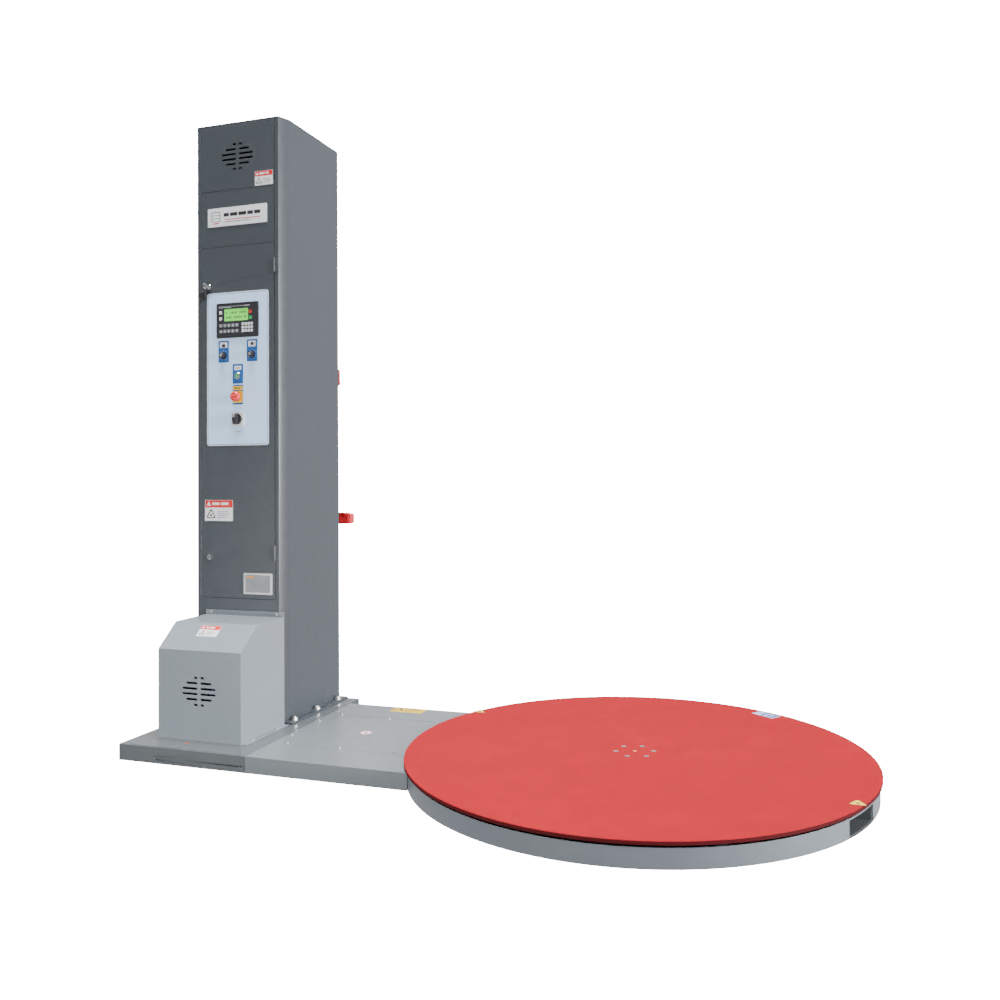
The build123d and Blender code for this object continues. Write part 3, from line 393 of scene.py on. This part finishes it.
def rect(w, h, cx=0.0, cy=0.0):
    x0, x1, y0, y1 = cx - w / 2, cx + w / 2, cy - h / 2, cy + h / 2
    return [(x0, y0), (x1, y0), (x1, y1), (x0, y1)]


def disc(r, cx=0.0, cy=0.0, seg=40):
    turns = [2 * math.pi * i / seg for i in range(seg)]
    return [(cx + r * math.cos(t), cy + r * math.sin(t)) for t in turns]


def tri(size, cx=0.0, cy=0.0, r=0.12):
    """Rounded triangle, point up."""
    pts = []
    for k in range(3):
        a = math.radians(90 + 120 * k)
        vx, vy = cx + math.cos(a) * size * (1 - r * 2), cy + math.sin(a) * size * (1 - r * 2)
        for i in range(-3, 4):
            b = a + math.radians(20.0 * i)
            pts.append((vx + math.cos(b) * size * r * 2 * 0.9, vy + math.sin(b) * size * r * 2 * 0.9))
    return pts


def bars(x0, y0, width, rows, pitch, thick, rng):
    """Rows of short dashes in place of lettering."""
    out = []
    for k in range(rows):
        x = x0
        end = x0 + width * (0.65 + 0.35 * rng.random())
        while x < end:
            w = min(end - x, thick * (1.6 + 3.0 * rng.random()))
            if w > thick * 0.5:
                out.append(rect(w, thick, x + w / 2, y0 - k * pitch))
            x += w + thick * 0.6
    return out


def frame_outline(w, h, r, t):
    """A closed border of width t, as quads between two rounded outlines."""
    outer, inner = rounded(w, h, r), rounded(w - 2 * t, h - 2 * t, r - t)
    n = len(outer)
    return [[outer[i], outer[(i + 1) % n], inner[(i + 1) % n], inner[i]] for i in range(n)]


def ring_quads(r_out, r_in, n=40):
    def at(r, t):
        return (r * math.cos(t), r * math.sin(t))

    turns = [2 * math.pi * i / n for i in range(n + 1)]
    return [[at(r_out, t0), at(r_out, t1), at(r_in, t1), at(r_in, t0)] for t0, t1 in zip(turns, turns[1:])]


def signed_area(pts):
    nexts = pts[1:] + pts[:1]
    return sum(a[0] * b[1] - b[0] * a[1] for a, b in zip(pts, nexts))


LAYER_STEP = 0.00007
INK = 0.00005
FILM = 0.0001
FOIL = 0.0002


def printed(name, body, centre, right, up, layers, thick=0.0003):
    """A thin printed piece. layers: (material key, outlines in mm), the first one is the backing sheet."""
    right, up = Vector(right).normalized(), Vector(up).normalized()
    out = right.cross(up)
    bm = bmesh.new()
    keys = []
    for level, (key, outlines) in enumerate(layers):
        if key not in keys:
            keys.append(key)
        index = keys.index(key)
        z = thick + LAYER_STEP * level
        for pts in outlines:
            if signed_area(pts) < 0:
                pts = pts[::-1]
            verts = [bm.verts.new(Vector(centre) + right * (x / 1000) + up * (y / 1000) + out * z)
                     for x, y in pts]
            face = bm.faces.new(verts)
            face.material_index = index
            if level == 0:
                low = [bm.verts.new(v.co - out * thick) for v in verts]
                for i in range(len(verts)):
                    j = (i + 1) % len(verts)
                    side = bm.faces.new((low[i], low[j], verts[j], verts[i]))
                    side.material_index = index
    mesh = bpy.data.meshes.new(name)
    bm.to_mesh(mesh)
    bm.free()
    for key in keys:
        mesh.materials.append(mats[key])
    o = bpy.data.objects.new(name, mesh)
    bpy.context.scene.collection.objects.link(o)
    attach(o, body)
    return o


rng = random.Random(11)
X, Y, Z = Vector((1, 0, 0)), Vector((0, 1, 0)), Vector((0, 0, 1))
DOOR_LEAF = "door_leaf"
MACHINE = "machine_frame"


def mid(name, y=None):
    """The centre of a node's box seen from the front, at its front face unless y is given."""
    lo, hi = B[name]
    return ((lo.x + hi.x) / 2, lo.y if y is None else y, (lo.z + hi.z) / 2)


mast_cx = mid("top_panel")[0]
front_y = B["door"][1].y - 0.0025


# ---- Notices: a red head strip, a blank triangle and rows of dashes ----
def notice(name, body, centre, right, up, w, h):
    head = h * 0.36
    hy = h / 2 - head / 2
    s = head * 0.34
    return printed(name, body, centre, right, up, [
        ("white", [rounded(w, h, 2.5)]),
        ("lab_red", [rounded(w - 3, head - 1, 1.5, 0, hy - 0.5)]),
        ("white", [tri(s, -w * 0.36, hy - s * 0.2)] + bars(-w * 0.24, hy, w * 0.62, 1, 1, head * 0.36, rng)),
        ("lab_blk", [tri(h * 0.27, -w * 0.28, -h * 0.21)]),
        ("white", [tri(h * 0.19, -w * 0.28, -h * 0.215)]),
        ("lab_blk", [disc(h * 0.055, -w * 0.28, -h * 0.23, 16)]),
        ("lab_gry", bars(-w * 0.04, -h * 0.06, w * 0.46, 4, h * 0.095, h * 0.036, rng)),
    ])


top_lo, top_hi = B["top_panel"]
notice("label_top", MACHINE, (top_hi.x - 0.049, front_y, top_lo.z + 0.034), X, Z, 86, 60)
door_lo, door_hi = B["door"]
notice("label_door", DOOR_LEAF, (door_lo.x + 0.086, front_y, door_lo.z + 0.364), X, Z, 137, 88)

# The cover's slanted edge rises SLANT_RISE over SLANT_RUN and ends a little below the cover's box
SLANT_RUN, SLANT_RISE, SLANT_DROP = 0.107, 0.090, 0.020
cover_lo, cover_hi = B["motor_cover"]
slant_top = Vector((0, cover_lo.y + SLANT_RUN, cover_hi.z - SLANT_DROP))
slant_foot = Vector((0, cover_lo.y, slant_top.z - SLANT_RISE))
slant = slant_top - slant_foot
spot = slant_foot + slant * 0.70
notice("label_cover", MACHINE, (cover_lo.x + 0.180, spot.y, spot.z), X, slant.normalized(), 93, 54)


# ---- Name plate: a generic mark of a wrapped load, with dashes beside it ----
MARK_X = -104
WORDS = ((-52, 26), (-16, 36), (26, 38), (64, 28), (98, 30))
printed("plate_print", MACHINE, mid("name_plate"), X, Z, [
    ("white", [rounded(282, 73, 4)]),
    ("lab_gry", [rounded(44, 44, 4, MARK_X, 2)]),
    ("white", [rounded(36, 10, 1.5, MARK_X, y) for y in (15, 2, -11)]),
    ("lab_red", [rect(30, 5, MARK_X, -26), rect(176, 3.0, 26, -13)]),
    ("lab_blk", [rounded(w, 15, 3, x, 8) for x, w in WORDS]),
    ("lab_gry", bars(-62, -22, 178, 1, 1, 4, rng)),
], thick=FOIL)

# ---- Data plate: engraved rules, dashes and an orange head ----
ROW = 8.5
rules = [rect(110, 0.6, 0, 19.5 - ROW * k) for k in range(6)] + [rect(0.6, 52, 16, -5)]
printed("data_print", DOOR_LEAF, mid("data_plate", B["data_plate"][1].y - 0.001), X, Z, [
    ("plate", [rounded(118, 72, 2)]),
    ("lab_org", [rect(34, 7, -36, 27)]),
    ("lab_gry", bars(-12, 27, 60, 1, 1, 3, rng) + bars(-54, 15, 66, 6, ROW, 2.4, rng)
     + bars(22, 15, 34, 6, ROW, 2.4, rng) + rules),
], thick=FILM)

# ---- Overlay print: white field edge and blue keyline ----
over_lo, over_hi = B["control_overlay"]
over_c = mid("control_overlay")
over_w, over_h = (over_hi.x - over_lo.x) * 1000, (over_hi.z - over_lo.z) * 1000
for name, key, inset, radius, width in (
    ("overlay_edge_white", "white", 1, 12, 3.5),
    ("overlay_edge_blue", "lab_blu", 8, 9, 2.2),
):
    border = frame_outline(over_w - inset, over_h - inset, radius, width)
    printed(name, DOOR_LEAF, over_c, X, Z, [(key, border)], thick=INK)
switch_c = mid("main_switch_plate")
small_print = (switch_c[0], over_lo.y, B["main_switch_plate"][0].z - 0.022)
printed("overlay_small_print", DOOR_LEAF, small_print, X, Z,
        [("lab_gry", bars(-17, 0, 36, 1, 1, 3.6, rng))], thick=INK)


# ---- Legend plates: tick ring round each dial, an icon above it, and a cap on the dial ----
TICK_R, TICK_LEN, TICK_HALF = 17.5, 4, 0.5
plate_front = B["legend_plates"][0].y


def tick(degrees):
    c, s = math.cos(math.radians(degrees)), math.sin(math.radians(degrees))

    def at(r, off):
        return (r * c - off * s, r * s + off * c)

    far = TICK_R + TICK_LEN
    return [at(TICK_R, TICK_HALF), at(TICK_R, -TICK_HALF), at(far, -TICK_HALF), at(far, TICK_HALF)]


ICONS = (
    [rect(16, 11, 0, 43), rect(22, 2.4, 0, 36.2)],
    [disc(7.5, 0, 45, 24), rect(2.4, 20, 13, 45)],
)
for i, (node, body) in enumerate((("knob_left", "left_knob"), ("knob_right", "right_knob"))):
    ticks = [tick(240 - 30 * k) for k in range(11)]
    printed("dial_print_%d" % i, DOOR_LEAF, mid(node, plate_front), X, Z,
            [("white", ticks + [rounded(36, 24, 2, 0, 45)]), ("lab_blk", ICONS[i])], thick=INK)
    printed("dial_cap_%d" % i, body, mid(node), X, Z,
            [("chrome", [disc(7.0)]), ("white", [rect(1.6, 5.5, 0, 3.6)])], thick=FOIL)

# ---- Start, stop and main switch marks ----
start_x, _, start_z = mid("start_bezel")
stop_z = mid("estop_button")[2]
printed("start_print", DOOR_LEAF, (start_x, plate_front, start_z), X, Z,
        [("white", [rounded(34, 18, 2, 0, 33)]), ("lab_gry", bars(-13, 36, 26, 2, 6, 2.6, rng))], thick=INK)
printed("stop_print", DOOR_LEAF, (start_x, plate_front, stop_z), X, Z,
        [("lab_yel", [rounded(47, 50, 4, 0, 0), rounded(47, 16, 2, 0, 37)]),
         ("lab_blk", bars(-16, 37, 34, 1, 1, 5, rng))], thick=INK)
printed("switch_print", DOOR_LEAF, switch_c, X, Z,
        [("lab_blk", [rect(1.6, 5, 0, 26), rect(1.2, 4, 24, 20), rounded(5, 5, 2.5, 26, 0)])], thick=INK)
knob = mid("main_switch_knob")
printed("switch_pointer", "main_knob", (knob[0], knob[1], B["main_switch_knob"][1].z - 0.009), X, Z,
        [("white", [rect(3, 11)])], thick=FILM)


def arc_mark(start, r_in=8.2, r_out=10.2):
    """A short curved bar round the stop mushroom's face."""
    turns = [(r_in, 0), (r_out, 0), (r_out, 15), (r_out, 30), (r_out, 45), (r_in, 45), (r_in, 30), (r_in, 15)]
    return [(r * math.cos(math.radians(start + d)), r * math.sin(math.radians(start + d))) for r, d in turns]


printed("stop_arrows", "stop_mushroom", (start_x, B["estop_button"][0].y, stop_z), X, Z,
        [("white", [arc_mark(a) for a in (20, 140, 260)])], thick=FILM)
start_button = mid("start_button")
printed("start_mark", "start_plunger", (start_button[0], start_button[1], start_z), X, Z,
        [("white", [rect(1.6, 9)])], thick=FILM)

# ---- Terminal: screen digits, key faces and their marks, as the keypad's own keys stand ----
DIGIT_PITCH, DIGIT_ROW = 7.2, 20
digits = []
for row in range(2):
    for col in range(14):
        if rng.random() < 0.82:
            digits.append(rect(3.6, 9.0, -47 + DIGIT_PITCH * col, 10 - DIGIT_ROW * row))
printed("screen_digits", DOOR_LEAF, mid("hmi_screen"), X, Z, [("lcd_ink", digits)], thick=FILM)

pad_lo, pad_hi = B["hmi_keypad"]
key_y = pad_lo.y
soft_y = key_y + 0.0004
film_y = pad_hi.y - 0.0008
MARK_LIFT = 0.00022
num_keys = [(0.031 + 0.0142 * c, pad_lo.z + 0.018 + 0.0146 * r) for c in range(4) for r in range(3)]
soft_keys = [(-0.076 + 0.0196 * c, pad_lo.z + 0.020 + 0.024 * r) for c in range(5) for r in range(2)]
red_key = (0.068, pad_hi.z - 0.033)
green_key = (0.068, pad_hi.z - 0.058)
arrow_keys = [(-0.077, pad_hi.z - 0.031), (-0.077, pad_hi.z - 0.056)]
print_z = pad_lo.z + 0.034


def local(x, z):
    return (x * 1000, (z - print_z) * 1000)


def key_face(name, key, spots, w, h, y):
    faces = [rounded(w, h, 1.2, *local(x, z)) for x, z in spots]
    return printed(name, DOOR_LEAF, (mast_cx, y, print_z), X, Z, [(key, faces)], thick=FILM)


key_face("keys_white", "key_wht", num_keys, 10.6, 10.6, key_y)
printed("key_digits", DOOR_LEAF, (mast_cx, key_y - MARK_LIFT, print_z), X, Z,
        [("lab_blk", [rect(2.4, 4.4, *local(x, z)) for x, z in num_keys])], thick=INK)
key_face("key_red", "key_red", [red_key], 13.2, 13.2, key_y)
key_face("key_green", "key_grn", [green_key], 13.2, 13.2, key_y)
key_face("keys_arrow", "key_wht", arrow_keys, 13.2, 13.2, key_y)
arrow_x, arrow_z = arrow_keys[0][0], (arrow_keys[0][1] + arrow_keys[1][1]) / 2
arrow_up = [(-3.5, 10.0), (3.5, 10.0), (0, 15.5)]
arrow_down = [(-3.5, -10.5), (3.5, -10.5), (0, -16.0)]
printed("arrow_marks", DOOR_LEAF, (mast_cx + arrow_x, key_y - MARK_LIFT, arrow_z), X, Z,
        [("lab_blk", [arrow_up, arrow_down])], thick=INK)
key_face("keys_grey", "key_gry", soft_keys, 14.2, 13.2, soft_y)
soft_marks = []
for x, z in soft_keys:
    u, v = local(x, z)
    soft_marks += [rect(8, 1.2, u, v + 2.2), rect(8, 1.2, u, v - 1.6)]
printed("soft_marks", DOOR_LEAF, (mast_cx, soft_y - MARK_LIFT, print_z), X, Z,
        [("white", soft_marks)], thick=INK)
head_marks = bars(-86, 90, 150, 1, 1, 3.6, rng)
head_words = bars(40, 90, 30, 1, 1, 2.4, rng) + bars(-86, 86, 60, 1, 1, 1.6, rng)
printed("terminal_legend", DOOR_LEAF, (mast_cx, film_y, print_z), X, Z,
        [("lab_gry", head_marks), ("white", head_words)], thick=INK)

# ---- Deck and disk stickers: plain rings, patches and triangles with nothing written on them ----
lid_lo, lid_hi = B["bridge_cover"]
deck_z = lid_hi.z
lid_x = (lid_lo.x + lid_hi.x) / 2
printed("sticker_round", MACHINE, (lid_x, 0.0, deck_z), X, Y, [
    ("white", [disc(25)]),
    ("lab_red", ring_quads(25, 20.5)),
    ("lab_blk", [rounded(9, 22, 4, 0, 0)]),
])
printed("sticker_yellow", MACHINE, (lid_x + 0.018, B["bridge_skirts"][1].y - 0.040, deck_z), X, Y, [
    ("lab_yel", [rounded(148, 75, 4)]),
    ("lab_blk", [tri(26, -46, -3)] + frame_outline(142, 69, 3, 1.4)),
    ("lab_yel", [tri(18, -46, -3.5)]),
    ("lab_blk", bars(-14, 18, 76, 4, 12, 4.2, rng)),
])
disk_top = B["table_disk"][1].z
disk_r = B["table_disk"][1].x


def on_disk(inset, turn):
    t = math.radians(turn)
    return ((disk_r - inset) * math.cos(t), (disk_r - inset) * math.sin(t), disk_top)


for name, inset, turn in (("sticker_rim_near", 0.021, -24.3), ("sticker_rim_far", 0.015, 153.0)):
    printed(name, "turntable", on_disk(inset, turn), X, Y, [
        ("lab_blk", [tri(30, 0, 0)]),
        ("lab_yel", [tri(26.5, 0, 0)]),
        ("lab_blk", [disc(5.5, 0, -2, 16)]),
    ])
turned = Matrix.Rotation(math.radians(-38), 3, "Z")
printed("sticker_rim_blue", "turntable", on_disk(0.044, 57.0), turned @ X, turned @ Y, [
    ("lab_sky", [rounded(104, 56, 3)]),
    ("lab_blu", [rounded(66, 48, 2, 15, 0)]),
    ("white", [disc(17, 15, 0, 30)]),
    ("lab_blu", [disc(12, 15, 0, 30)]),
    ("lab_gry", bars(-47, 18, 24, 4, 11, 3.4, rng)),
])
printed("disk_centre_dot", "turntable", (0.0, 0.0, disk_top), X, Y, [("lab_org", [disc(6.5)])])
foot_lo, foot_hi = B["foot_plate"]
printed("foot_mark_red", MACHINE, (mast_cx + 0.003, foot_lo.y + 0.080, foot_hi.z), X, Y,
        [("lab_red", [disc(7)])])

# ---------------------------------------------------------------- camera
CAMERA_AT = Vector((0.6108, -3.3491, 1.0768))
YAW, PITCH, ROLL = 0.3207, 0.0194, -0.0072
SENSOR = 36.0
LENS = 33.6402
SHIFT_UP = -0.0437

cam_data = bpy.data.cameras.new("camera")
cam = bpy.data.objects.new("camera", cam_data)
bpy.context.scene.collection.objects.link(cam)
cam_data.sensor_width = SENSOR
cam_data.lens = LENS
cam_data.shift_y = SHIFT_UP
cam_data.clip_end = 200.0
level_right = Vector((math.cos(YAW), math.sin(YAW), 0))
level_ahead = Vector((-math.sin(YAW), math.cos(YAW), 0))
ahead = level_ahead * math.cos(PITCH) + Z * math.sin(PITCH)
above = level_right.cross(ahead)
cam_right = level_right * math.cos(ROLL) + above * math.sin(ROLL)
cam_up = above * math.cos(ROLL) - level_right * math.sin(ROLL)
turn = Matrix((cam_right, cam_up, -ahead)).transposed().to_4x4()
cam.matrix_world = Matrix.Translation(CAMERA_AT) @ turn
bpy.context.scene.camera = cam

# ---------------------------------------------------------------- floor and wall in one sweep
FLOOR_HALF = 40
FLOOR_NEAR, FLOOR_FAR = -30, 7
SWEEP_R, SWEEP_STEPS = 5, 12
WALL_TOP = 26


def floor_material():
    m = Mat("studio_floor", (0.86, 0.86, 0.86), 0.6, emission=(1, 1, 1), emission_strength=22.0)
    slow = m.noise(0.8, 4.0, 0.6)
    m.color_from(m.mix(m.range(slow, 0.0, 1.0, 0.3, 0.7), (0.84, 0.84, 0.84), (0.88, 0.88, 0.88)))
    m.bump(m.noise(60.0, 3.0), 0.03, 0.001)
    return m.mat


profile = [(FLOOR_NEAR, 0), (FLOOR_FAR, 0)]
for i in range(1, SWEEP_STEPS + 1):
    t = math.radians(90 * i / SWEEP_STEPS)
    profile.append((FLOOR_FAR + SWEEP_R * math.sin(t), SWEEP_R - SWEEP_R * math.cos(t)))
profile.append((FLOOR_FAR + SWEEP_R, WALL_TOP))
bm = bmesh.new()
rows = [[bm.verts.new((x, py, pz)) for x in (-FLOOR_HALF, FLOOR_HALF)] for py, pz in profile]
for r0, r1 in zip(rows, rows[1:]):
    bm.faces.new((r0[0], r0[1], r1[1], r1[0])).smooth = True
floor_mesh = bpy.data.meshes.new("studio_floor")
bm.to_mesh(floor_mesh)
bm.free()
floor_mesh.materials.append(floor_material())
floor = bpy.data.objects.new("studio_floor", floor_mesh)
bpy.context.scene.collection.objects.link(floor)
# The glowing floor is seen by the camera but doesn't light the machine: the lamps and the world do that
floor.visible_diffuse = False
floor.visible_glossy = False


# ---------------------------------------------------------------- lamps and world
def area(name, loc, target, size, size_y, power):
    data = bpy.data.lights.new(name, "AREA")
    data.shape = "RECTANGLE"
    data.size = size
    data.size_y = size_y
    data.energy = power
    o = bpy.data.objects.new(name, data)
    o.location = loc
    o.rotation_mode = "QUATERNION"
    o.rotation_quaternion = (Vector(target) - Vector(loc)).to_track_quat("-Z", "Y")
    bpy.context.scene.collection.objects.link(o)


area("top", (-1.3, -0.3, 8.0), (-0.9, 0.0, 0.0), 3.4, 2.4, 2100)
area("right", (8.6, -1.2, 1.9), (-1.4, 0.1, 0.6), 4.2, 3.2, 2500)
area("low_front", (-1.6, -3.4, 0.35), (-1.5, 0.0, 0.3), 2.4, 0.7, 105)


def studio_world(down, level, up, side_gain, side):
    """Even studio light that changes with height, with one side stronger."""
    world = bpy.data.worlds.new("studio")
    world.use_nodes = True
    nt = world.node_tree
    bg = nt.nodes["Background"]
    coord = nt.nodes.new("ShaderNodeTexCoord")
    sep = nt.nodes.new("ShaderNodeSeparateXYZ")
    nt.links.new(coord.outputs["Generated"], sep.inputs["Vector"])
    curve = nt.nodes.new("ShaderNodeValToRGB")
    ramp = curve.color_ramp
    ramp.elements[0].color = rgba(down, down, down)
    ramp.elements[1].color = rgba(up, up, up)
    ramp.elements.new(0.5).color = rgba(level, level, level)
    height = nt.nodes.new("ShaderNodeMapRange")
    height.inputs["From Min"].default_value = -1.0
    nt.links.new(sep.outputs["Z"], height.inputs["Value"])
    nt.links.new(height.outputs["Result"], curve.inputs["Fac"])
    dot = nt.nodes.new("ShaderNodeVectorMath")
    dot.operation = "DOT_PRODUCT"
    dot.inputs[1].default_value = Vector(side).normalized()
    nt.links.new(coord.outputs["Generated"], dot.inputs[0])
    gain = nt.nodes.new("ShaderNodeMapRange")
    gain.inputs["From Min"].default_value = -1.0
    gain.inputs["To Min"].default_value = 1.0 - side_gain
    gain.inputs["To Max"].default_value = 1.0 + side_gain
    nt.links.new(dot.outputs["Value"], gain.inputs["Value"])
    total = nt.nodes.new("ShaderNodeMath")
    total.operation = "MULTIPLY"
    nt.links.new(curve.outputs["Color"], total.inputs[0])
    nt.links.new(gain.outputs["Result"], total.inputs[1])
    nt.links.new(total.outputs["Value"], bg.inputs["Strength"])
    bg.inputs["Color"].default_value = rgba(0.97, 0.98, 1.0)
    return world


bpy.context.scene.world = studio_world(down=0.58, level=0.52, up=0.45, side_gain=0.60, side=(-0.3, 1.0, 0.0))
